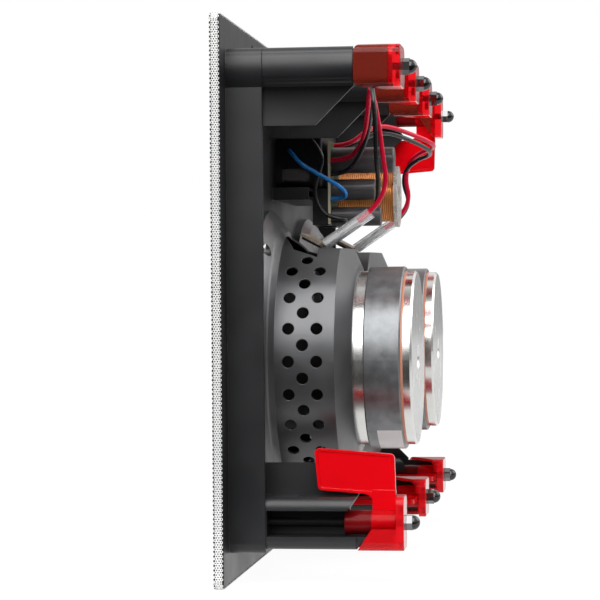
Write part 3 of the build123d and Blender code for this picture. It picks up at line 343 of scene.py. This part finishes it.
def back_plate_finish(name):
    """Plated rim, grey painted face and a ring of orange glue against the magnet."""
    made = surface("plate_" + name[-1], (0.68, 0.68, 0.66), 0.22, 1.0, vary=0.07, patch=60, grain=1400,
                   bump=0.06)
    tree = made.node_tree
    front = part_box(name.replace("back_plate", "magnet"))[1].y
    glue = within(tree, "Y", front - GLUE_LAP, front + GLUE_T)
    face = ramp_between(tree, axis_value(tree, "ShaderNodeNewGeometry", "Normal", "Y"), 0.8, 0.9, 0.0, 1.0)
    base_colour_by(made, glue, (0.74, 0.3, 0.19))
    base_colour_by(made, face, (0.37, 0.37, 0.36))
    set_by(made, "Metallic", most(tree, glue, face), 1.0, 0.0)
    return made


def upper_axis():
    low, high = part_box("clamp_bush_top_1")
    return (low.z + high.z) / 2


def round_towers(made):
    """Rounds the upper towers' sides to the eye."""
    tree = made.node_tree
    height = axis_value(tree, "ShaderNodeTexCoord", "Object", "Z")
    from_axis = ramp_between(tree, height, upper_axis() - TOWER_HALF, upper_axis() + TOWER_HALF, -TOWER_HALF,
                             TOWER_HALF)
    sideways = arithmetic(tree, "ABSOLUTE", axis_value(tree, "ShaderNodeNewGeometry", "True Normal", "X"))
    rise = scaled(tree, scaled(tree, from_axis, from_axis), -1 / (2 * TOWER_BULGE_R))
    bulge = tree.nodes.new("ShaderNodeBump")
    bulge.inputs["Strength"].default_value = 1.0
    bulge.inputs["Distance"].default_value = 1.0
    link(tree, scaled(tree, rise, ramp_between(tree, sideways, 0.9, 0.95, 0.0, 1.0)),
         bulge.inputs["Height"])
    relief = next(node for node in tree.nodes if node.type == "BUMP" and node != bulge)
    if relief.inputs["Normal"].links:
        link(tree, relief.inputs["Normal"].links[0].from_socket, bulge.inputs["Normal"])
    link(tree, bulge.outputs["Normal"], relief.inputs["Normal"])


def shade_webs(made):
    """Painted shadow of the upper towers on the webs below them; their gloss is dulled there too."""
    tree = made.node_tree
    height = axis_value(tree, "ShaderNodeTexCoord", "Object", "Z")
    shade = scaled(tree, within(tree, "Z", upper_axis() - WEB_LOW, upper_axis() - TOWER_HALF),
                   ramp_between(tree, height, upper_axis() - WEB_LIGHT, upper_axis() - WEB_DARK, 0.0, 1.0))
    # painted shadow: near black just under the towers, fading out lower down
    base_colour_by(made, shade, (0.001, 0.001, 0.001))
    set_by(made, "Specular IOR Level", shade, 0.5, 0.05)


def shade_caps(made):
    """Dark brown-red where an upper tower's end lies inside the clear caps; the lower caps are deep red."""
    tree = made.node_tree
    over_tower = scaled(tree, within(tree, "Z", 0.0, 0.2), within(tree, "Y", 0.0, SPIGOT_END))
    base_colour_by(made, over_tower, (0.3, 0.03, 0.016))
    set_by(made, "Transmission Weight", most(tree, over_tower, within(tree, "Z", -0.2, 0.0)), 0.88, 0.55)


def plate_nut_bases(made):
    """Bright plating on the nuts' hexagons, below their black domes."""
    tree = made.node_tree
    below = ramp_between(tree, axis_value(tree, "ShaderNodeTexCoord", "Object", "Y"), NUT_DOME_Y - NUT_EDGE,
                         NUT_DOME_Y, 1.0, 0.0)
    base_colour_by(made, below, (0.18, 0.18, 0.18))
    link(tree, below, tree.nodes["Principled BSDF"].inputs["Metallic"])


def add_dots(made):
    """Dark dots of the sheet's staggered holes, worked out from x and z."""
    tree = made.node_tree
    cell = (PITCH, 1.0, PITCH * math.sqrt(3))
    away = []
    for shift in (0.0, 0.5):
        grid = vector_step(tree, "MULTIPLY_ADD", piece_coordinates(tree), tuple(1 / side for side in cell),
                           (shift, 0, shift))
        centred = vector_step(tree, "SUBTRACT", vector_step(tree, "FRACTION", grid), (0.5, 0.5, 0.5))
        sized = vector_step(tree, "MULTIPLY", centred, (cell[0], 0, cell[2]))
        away.append(vector_step(tree, "LENGTH", sized))
    hole = ramp_between(tree, arithmetic(tree, "MINIMUM", *away), HOLE_R * 0.9, HOLE_R * 1.1, 1.0, 0.0)
    base_colour_by(made, hole, (0.012, 0.012, 0.013))


def show_board_edge(made):
    """Pale cut edge of the circuit board."""
    tree = made.node_tree
    across = arithmetic(tree, "ABSOLUTE", axis_value(tree, "ShaderNodeNewGeometry", "Normal", "Y"))
    base_colour_by(made, ramp_between(tree, across, 0.4, 0.5, 1.0, 0.0), (0.9, 0.82, 0.6))


def make_materials():
    """Every finish by name."""
    clear = {"Transmission Weight": 0.8, "IOR": 1.12}
    made = {
        "black": surface("frame_black", (0.0115, 0.012, 0.0135), 0.4, vary=0.12, patch=25, grain=1500,
                         bump=0.12, round_edges=0.0007),
        "tower": surface("tower_black", (0.0115, 0.012, 0.0135), 0.4, vary=0.12, patch=25, grain=1500,
                         bump=0.12),
        "white": surface("grille_white", (0.83, 0.83, 0.82), 0.45, vary=0.02, patch=40, grain=2500),
        "red_cap": surface("clear_red_cap", (0.88, 0.012, 0.02), 0.08, vary=0.03, patch=30, grain=400,
                           bump=0.03, rough_vary=0.02, sockets={"IOR": 1.3, "Specular IOR Level": 0.25}),
        "zinc": surface("zinc", (0.68, 0.68, 0.66), 0.27, 1.0, vary=0.07, patch=60, grain=1400, bump=0.06),
        "nut": surface("nut_black", (0.008, 0.008, 0.009), 0.07, vary=0.1, patch=80, grain=700, bump=0.02,
                       rough_vary=0.02, sockets={"Specular IOR Level": 0.6}),
        "brown": surface("terminal_brown", (0.3, 0.25, 0.19), 0.5, vary=0.2, patch=300),
        "tin": surface("tin", (0.7, 0.7, 0.68), 0.42, 0.7, vary=0.08, patch=150, grain=1200, bump=0.06),
        "screw": surface("screw_black", (0.006, 0.006, 0.006), 0.55, vary=0.2, patch=300,
                         sockets={"Specular IOR Level": 0.1}),
        "silk": surface("dome_silk", (0.04, 0.04, 0.045), 0.6, vary=0.15, patch=400, grain=3000, bump=0.3),
        "ferrite": surface("ferrite", (0.13, 0.132, 0.136), 0.38, 0.6, vary=0.12, patch=110, grain=900,
                           bump=0.12),
        "housing": surface("housing_black", (0.009, 0.009, 0.01), 0.5, vary=0.15, patch=40),
        "board": surface("board_green", (0.05, 0.14, 0.05), 0.35, vary=0.25, patch=220),
        "capacitor": surface("capacitor_black", (0.085, 0.083, 0.087), 0.33, vary=0.15, patch=90, bump=0.05),
        "bobbin": surface("bobbin_clear", (0.82, 0.8, 0.76), 0.3, vary=0.05, patch=120,
                          sockets={"Transmission Weight": 0.6}),
        "copper": surface("copper", (1.0, 0.4, 0.13), 0.32, 0.8, vary=0.15, patch=200),
        "cement": surface("resistor_white", (0.68, 0.66, 0.6), 0.7, vary=0.1, patch=200),
        "sleeve": surface("sleeve_clear", (0.95, 0.96, 0.97), 0.08, vary=0.02, patch=150, sockets=clear),
        "wire_red": surface("wire_red", (0.8, 0.005, 0.045), 0.3, vary=0.06, patch=80, bump=0.05,
                            sockets={"Specular IOR Level": 0.25}),
        "wire_black": surface("wire_black", (0.015, 0.015, 0.016), 0.28, vary=0.1, patch=80, bump=0.05),
        "wire_blue": surface("wire_blue", (0.015, 0.27, 0.8), 0.26, vary=0.06, patch=80, bump=0.05),
        "brass": surface("brass", (0.62, 0.44, 0.18), 0.3, 1.0, vary=0.1, patch=200),
        "rubber": surface("surround_rubber", (0.02, 0.02, 0.021), 0.6, vary=0.15, patch=60),
        "cone": surface("cone_black", (0.035, 0.036, 0.038), 0.5, vary=0.15, patch=300, bump=0.2),
        "cloth": surface("spider_cloth", (0.5, 0.34, 0.16), 0.8, vary=0.15, patch=500, grain=2500, bump=0.4),
    }
    made["perforated"] = surface("grille_perforated", (0.83, 0.83, 0.82), 0.45, vary=0.02, patch=40,
                                 grain=2500)
    add_dots(made["perforated"])
    show_board_edge(made["board"])
    plate_nut_bases(made["nut"])
    round_towers(made["tower"])
    round_towers(made["black"])
    shade_webs(made["tower"])
    shade_caps(made["red_cap"])
    base_colour_by(made["sleeve"], within(made["sleeve"].node_tree, "Z", TWEETER_SLEEVE_Z, 0.1),
                   (0.3, 0.28, 0.28))
    return made


def new_mesh(name, verts, faces, finish, replaced, body="frame", smooth=False):
    """New piece that stands for the named nodes and, unless body is None, rides on a body."""
    mesh = bpy.data.meshes.new(name)
    mesh.from_pydata([tuple(v) for v in verts], [], [tuple(f) for f in faces])
    mesh.validate()
    piece = bpy.data.objects.new(name, mesh)
    bpy.context.scene.collection.objects.link(piece)
    mesh.materials.append(finish)
    if smooth:
        mesh.shade_smooth()
    if body is not None:
        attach(piece, body)
    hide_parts(*replaced)
    return piece


def cord(name, points, diameter, finish, node):
    """One wire as a smooth curve along its route."""
    data = bpy.data.curves.new(name, "CURVE")
    data.dimensions = "3D"
    data.bevel_depth = diameter / 2
    data.bevel_resolution = 5
    data.resolution_u = 10
    data.use_fill_caps = True
    spline = data.splines.new("NURBS")
    spline.points.add(len(points) - 1)
    for spot, point in zip(spline.points, points):
        spot.co = (*point, 1)
    spline.order_u = 3
    spline.use_endpoint_u = True
    data.materials.append(finish)
    piece = bpy.data.objects.new(name, data)
    bpy.context.scene.collection.objects.link(piece)
    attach(piece, "frame")
    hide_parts(node)
    line = data.copy()
    line.bevel_depth = 0
    probe = bpy.data.objects.new(name + "_line", line)
    path = bpy.data.meshes.new_from_object(probe)
    bpy.data.meshes.remove(path)
    bpy.data.objects.remove(probe)


def make_wires(finish):
    near_red = [
        (0.0343, BOARD_BACK, 0.085), (0.0343, 0.051, 0.085), (0.044, 0.060, 0.091), (0.058, 0.0655, 0.100),
        (0.075, 0.069, 0.113), (0.090, 0.0715, 0.126), (0.1005, 0.075, 0.117), (0.1015, 0.078, 0.100),
        (0.1005, 0.080, 0.082), (0.0975, 0.082, 0.067), (NEAR_X[0], *LEAD_TURN), (NEAR_X[0], *LEAD_END)]
    near_black = [
        (0.0343, BOARD_BACK, 0.0765), (0.0343, 0.051, 0.0765), (0.042, 0.060, 0.086), (0.056, 0.067, 0.099),
        (0.0735, 0.071, 0.1145), (0.0895, 0.0715, 0.130), (0.1045, 0.075, 0.119), (0.105, 0.076, 0.100),
        (0.102, 0.076, 0.082), (0.092, 0.0765, 0.068), (NEAR_X[1], *LEAD_TURN), (NEAR_X[1], *LEAD_END)]
    far_red = [
        (0.014, BOARD_BACK, 0.0953), (0.014, 0.051, 0.0953), (0.005, 0.061, 0.105), (-0.011, 0.070, 0.1095),
        (-0.028, 0.085, 0.105), (-0.048, 0.098, 0.100), (-0.064, 0.099, 0.0975), (-0.074, 0.090, 0.096),
        (-0.079, 0.081, 0.090), (-0.081, 0.078, 0.078), (-0.082, 0.081, 0.065), (FAR_X[0], *LEAD_TURN),
        (FAR_X[0], *LEAD_END)]
    far_black = [
        (0.001, BOARD_BACK, 0.0953), (0.001, 0.052, 0.0953), (-0.006, 0.062, 0.103), (-0.016, 0.073, 0.105),
        (-0.030, 0.086, 0.1005), (-0.046, 0.0965, 0.0955), (-0.060, 0.0965, 0.0925), (-0.071, 0.088, 0.091),
        (-0.079, 0.0785, 0.085), (-0.087, 0.076, 0.075), (-0.0925, 0.080, 0.064), (FAR_X[1], *LEAD_TURN),
        (FAR_X[1], *LEAD_END)]
    tweeter_blue = [
        (0.040, 0.017, 0.091), (0.043, 0.017, 0.091), (0.0456, 0.0181, 0.0899), (0.0473, 0.0202, 0.0877),
        (0.0477, 0.024, 0.0828), (0.0473, 0.0315, 0.0782), (0.0466, 0.0405, 0.0732),
        (0.0446, 0.0475, 0.0689), (0.041, 0.0514, 0.0653), (0.0368, 0.0512, 0.0626),
        (0.0343, 0.0476, 0.0615), (0.0343, BOARD_BACK, 0.0615)]
    tweeter_black = [
        (0.040, 0.026, 0.103), (0.0428, 0.026, 0.103), (0.0454, 0.0269, 0.1018), (0.0471, 0.0288, 0.0994),
        (0.0475, 0.0336, 0.0943), (0.0468, 0.0386, 0.086), (0.0455, 0.036, 0.0775), (0.0448, 0.033, 0.069),
        (0.0446, 0.0334, 0.0605), (0.0438, 0.0365, 0.054), (0.043, 0.0415, 0.0503), (0.043, 0.048, 0.0488),
        (0.0406, 0.0516, 0.0483), (0.0367, 0.0516, 0.048), (0.0343, 0.048, 0.048),
        (0.0343, BOARD_BACK, 0.048)]
    cord("near_red_wire", near_red, WIRE_D, finish["wire_red"], "woofer_1_wires")
    cord("near_black_wire", near_black, WIRE_D, finish["wire_black"], "woofer_1_wires")
    cord("far_red_wire", far_red, WIRE_D, finish["wire_red"], "woofer_2_wires")
    cord("far_black_wire", far_black, WIRE_D, finish["wire_black"], "woofer_2_wires")
    cord("tweeter_blue_wire", tweeter_blue, TWEETER_WIRE_D, finish["wire_blue"],
         "tweeter_wires")
    cord("tweeter_black_wire", tweeter_black, TWEETER_WIRE_D, finish["wire_black"],
         "tweeter_wires")


def paint(finish):
    """Finishes for the nodes that keep their solids."""
    looks = {
        "frame": "black", "clamp_towers": "tower", "grille_magnets": "zinc", "clamp_caps": "red_cap",
        "clamp_screws": "screw", "cap_nuts": "nut", "woofer_terminals": "brown", "woofer_screws": "zinc",
        "tweeter_waveguide": "black", "tweeter_diaphragm": "silk", "tweeter_top_plate": "zinc",
        "tweeter_magnet": "ferrite", "tweeter_yoke": "zinc", "tweeter_housing": "housing",
        "tweeter_screws": "screw", "crossover_board": "board", "board_screws": "zinc",
        "capacitors": "capacitor", "coil_bobbin": "bobbin", "resistor": "cement", "input_terminal": "black",
        "connector_sleeves": "sleeve", "spade_terminals": "tin"}
    starts = {
        "clamp_bush_": "brass", "surround_": "rubber", "cone_": "cone", "dust_cap_": "cone",
        "voice_coil_": "copper", "top_plate_": "zinc"}
    own = {"clamp_": clamp_finish, "basket_": basket_finish, "magnet_": magnet_finish,
           "back_plate_": back_plate_finish}
    for name, node in NODES.items():
        look = looks.get(name)
        for start, finish_name in starts.items():
            if look is None and name.startswith(start):
                look = finish_name
        made = finish.get(look)
        for start, make_finish in own.items():
            if made is None and name.startswith(start):
                made = make_finish(name)
        if made is not None:
            node.data.materials.clear()
            node.data.materials.append(made)


def perforated(cells_u, cells_v, place):
    """Vertices and faces of hexagon cells with a hole each; place maps (u, v, depth) to a point."""
    verts = []
    faces = []
    corner = PITCH / math.sqrt(3)
    angles = [math.radians(30 + 60 * k) for k in range(6)]
    for row, v in enumerate(cells_v):
        for u in cells_u:
            u_mid = u + (PITCH / 2 if row % 2 else 0)
            first = len(verts)
            for radius, depth in ((corner, 0), (HOLE_R, 0), (HOLE_R, SHEET_T)):
                verts += [place(u_mid + radius * math.cos(a), v + radius * math.sin(a), depth)
                          for a in angles]
            for k in range(6):
                n = (k + 1) % 6
                for ring in (0, 6):
                    faces.append((first + ring + k, first + ring + n, first + ring + 6 + n,
                                  first + ring + 6 + k))
    return verts, faces


def outline(half_x, half_z, radius, y, arc=6):
    """Points round a rounded rectangle that faces the front."""
    points = []
    for corner, (sx, sz) in enumerate(((1, 1), (-1, 1), (-1, -1), (1, -1))):
        for k in range(arc + 1):
            turn = math.radians(90 * (corner + k / arc))
            points.append((sx * (half_x - radius) + radius * math.cos(turn), y,
                           sz * (half_z - radius) + radius * math.sin(turn)))
    return points


def loft(outlines, close_last=False):
    """Skin between outlines of equal point count."""
    count = len(outlines[0])
    verts = [point for ring in outlines for point in ring]
    faces = []
    for level in range(len(outlines) - 1):
        for k in range(count):
            n = (k + 1) % count
            faces.append((level * count + k, level * count + n, (level + 1) * count + n,
                          (level + 1) * count + k))
    if close_last:
        faces.append(tuple((len(outlines) - 1) * count + k for k in range(count)))
    return verts, faces


def make_grille(finish):
    """Folded perforated sheet in place of the plain one: its rim has real holes."""
    low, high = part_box("grille")
    half_x, half_z, corner_r = high.x, high.z, GRILLE_CORNER_R
    rows = []
    for step in range(5):
        turn = math.radians(90 * step / 4)
        inset = BEND_R * (1 - math.sin(turn))
        rows.append(outline(half_x - inset, half_z - inset, corner_r - inset,
                            low.y + BEND_R * (1 - math.cos(turn))))
    verts, faces = loft(rows[::-1], close_last=True)
    new_mesh("grille_front", verts, faces, finish["perforated"], ["grille"])
    row = PITCH * math.sqrt(3) / 2
    first = low.y + BEND_R + PITCH / 2
    across = [first + PITCH * k for k in range(BAND_HOLES)]
    for name, reach, place in (
            ("grille_rim_x1", half_z, lambda u, v, d: (half_x - d, u, v)),
            ("grille_rim_x2", half_z, lambda u, v, d: (d - half_x, u, v)),
            ("grille_rim_z1", half_x, lambda u, v, d: (v, u, half_z - d)),
            ("grille_rim_z2", half_x, lambda u, v, d: (v, u, d - half_z))):
        count = int((reach - corner_r) / row)
        along = [row * k for k in range(-count, count + 1)]
        verts, faces = perforated(across, along, place)
        new_mesh(name, verts, faces, finish["white"], ["grille"])
    inset = SHEET_T + SCRIM_GAP
    lines = [outline(half_x - inset, half_z - inset, corner_r - inset, y) for y in (low.y + BEND_R, high.y)]
    verts, faces = loft(lines)
    new_mesh("grille_scrim", verts, faces, finish["rubber"], ["grille"])
    arc_rows = round(math.pi / 2 * corner_r / row)
    along = [math.pi / 2 * corner_r * (k + 0.5) / arc_rows for k in range(arc_rows)]
    for number, (side_x, side_z) in enumerate(((1, 1), (-1, 1), (-1, -1), (1, -1)), 1):
        def bend(u, v, d, side_x=side_x, side_z=side_z):
            turn = v / corner_r
            reach = corner_r - d
            return (side_x * (half_x - corner_r + reach * math.cos(turn)), u,
                    side_z * (half_z - corner_r + reach * math.sin(turn)))
        verts, faces = perforated(across, along, bend)
        new_mesh(f"grille_corner_{number}", verts, faces, finish["white"], ["grille"])


def make_winding(finish):
    """Outer layer of the coil as separate turns of wire."""
    low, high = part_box("coil_winding")
    centre_x, centre_z = (low.x + high.x) / 2, (low.z + high.z) / 2
    outer = (high.x - low.x) / 2 - COIL_WIRE_R
    turns = int((high.y - low.y) / (2 * COIL_WIRE_R))
    around, section = 64, 8
    verts, faces = [], []
    for turn in range(turns):
        y = low.y + COIL_WIRE_R + turn * (high.y - low.y - 2 * COIL_WIRE_R) / (turns - 1)
        first = len(verts)
        for i in range(around):
            a = 2 * math.pi * i / around
            for j in range(section):
                b = 2 * math.pi * j / section
                r = outer + COIL_WIRE_R * math.cos(b)
                verts.append((centre_x + r * math.cos(a), y + COIL_WIRE_R * math.sin(b),
                              centre_z + r * math.sin(a)))
        for i in range(around):
            for j in range(section):
                n, m = (i + 1) % around, (j + 1) % section
                faces.append((first + i * section + j, first + n * section + j, first + n * section + m,
                              first + i * section + m))
    new_mesh("coil_turns", verts, faces, finish["copper"], ["coil_winding"], smooth=True)


def make_spider(number, finish):
    """Spider cut into sectors by the angle of its faces round its centre."""
    name = f"spider_{number}"
    mesh = NODES[name].data
    low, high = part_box(name)
    centre = (low + high) / 2
    sectors = [[] for _ in range(SPIDER_SECTORS)]
    for face in mesh.polygons:
        spot = face.center - centre
        share = math.atan2(spot.z, spot.x) / (2 * math.pi) % 1.0
        sectors[int(share * SPIDER_SECTORS) % SPIDER_SECTORS].append(face.vertices)
    for index, faces in enumerate(sectors):
        used = sorted({v for face in faces for v in face})
        place = {v: k for k, v in enumerate(used)}
        piece = new_mesh(f"{name}_sector_{index + 1}", [mesh.vertices[v].co for v in used],
                         [[place[v] for v in face] for face in faces], finish["cloth"],
                         [name], body=None)
        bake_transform(piece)


def make_world():
    """White backdrop behind and above the object; reflections of the room before it are dim."""
    world = bpy.data.worlds.new("world")
    bpy.context.scene.world = world
    world.use_nodes = True
    tree = world.node_tree
    tree.nodes.clear()
    path = tree.nodes.new("ShaderNodeLightPath")
    glossy = path.outputs["Is Glossy Ray"]
    across = axis_value(tree, "ShaderNodeTexCoord", "Generated", "X")
    height = axis_value(tree, "ShaderNodeTexCoord", "Generated", "Z")
    behind = ramp_between(tree, across, *BEHIND_X, BEHIND_WHITE, 0.0)
    above = ramp_between(tree, height, *ABOVE_Z, 0.0, 1.0)
    overhead = ramp_between(tree, height, *OVERHEAD_Z, 1.0, OVERHEAD_SHARE)
    seen = most(tree, path.outputs["Is Camera Ray"], path.outputs["Is Transmission Ray"])
    seen = most(tree, seen, scaled(tree, scaled(tree, glossy, most(tree, behind, above)), overhead))
    room = tree.nodes.new("ShaderNodeBackground")
    room.inputs["Color"].default_value = (1, 1, 1, 1)
    link(tree, ramp_between(tree, glossy, 0.0, 1.0, ROOM_LIGHT, ROOM_REFLECTED), room.inputs["Strength"])
    white = tree.nodes.new("ShaderNodeBackground")
    white.inputs["Color"].default_value = (1, 1, 1, 1)
    white.inputs["Strength"].default_value = 1.0
    mix = tree.nodes.new("ShaderNodeMixShader")
    link(tree, seen, mix.inputs["Fac"])
    link(tree, room.outputs[0], mix.inputs[1])
    link(tree, white.outputs[0], mix.inputs[2])
    output = tree.nodes.new("ShaderNodeOutputWorld")
    link(tree, mix.outputs[0], output.inputs["Surface"])


def make_floor():
    """Pale floor that melts into the backdrop and keeps a soft shadow."""
    mesh = bpy.data.meshes.new("floor")
    mesh.from_pydata([(-6, -6, FLOOR_Z), (FLOOR_FRONT, -6, FLOOR_Z), (FLOOR_FRONT, 6, FLOOR_Z),
                      (-6, 6, FLOOR_Z)], [], [(0, 1, 2, 3)])
    floor = bpy.data.objects.new("floor", mesh)
    bpy.context.scene.collection.objects.link(floor)
    made = bpy.data.materials.new("floor_white")
    made.use_nodes = True
    tree = made.node_tree
    shader = tree.nodes["Principled BSDF"]
    shader.inputs["Base Color"].default_value = (0.9, 0.9, 0.9, 1)
    shader.inputs["Roughness"].default_value = 0.9
    shader.inputs["Specular IOR Level"].default_value = 0.0
    glow = tree.nodes.new("ShaderNodeEmission")
    glow.inputs["Strength"].default_value = FLOOR_GLOW
    path = tree.nodes.new("ShaderNodeLightPath")
    seen = most(tree, path.outputs["Is Camera Ray"], path.outputs["Is Transmission Ray"])
    seen = most(tree, seen, path.outputs["Is Glossy Ray"])
    mix = tree.nodes.new("ShaderNodeMixShader")
    away = vector_step(tree, "LENGTH", piece_coordinates(tree))
    share = ramp_between(tree, away, *FLOOR_FADE, FLOOR_SHARE, 1.0)
    link(tree, scaled(tree, seen, share), mix.inputs["Fac"])
    link(tree, shader.outputs[0], mix.inputs[1])
    link(tree, glow.outputs[0], mix.inputs[2])
    link(tree, mix.outputs[0], tree.nodes["Material Output"].inputs["Surface"])
    mesh.materials.append(made)


def make_lights():
    """A large soft light above the camera, with weaker ones at the front and the rear."""
    for name, spot, size, power in LIGHTS:
        data = bpy.data.lights.new(name, "AREA")
        data.size = size
        data.energy = power
        lamp = bpy.data.objects.new(name, data)
        lamp.location = spot
        lamp.rotation_euler = (LIGHT_AIM - Vector(spot)).to_track_quat("-Z", "Y").to_euler()
        bpy.context.scene.collection.objects.link(lamp)


bpy.context.scene.view_settings.view_transform = "Standard"
set_camera()
finishes = make_materials()
make_wires(finishes)
paint(finishes)
make_grille(finishes)
make_winding(finishes)
make_spider(1, finishes)
make_spider(2, finishes)
make_world()
make_floor()
make_lights()
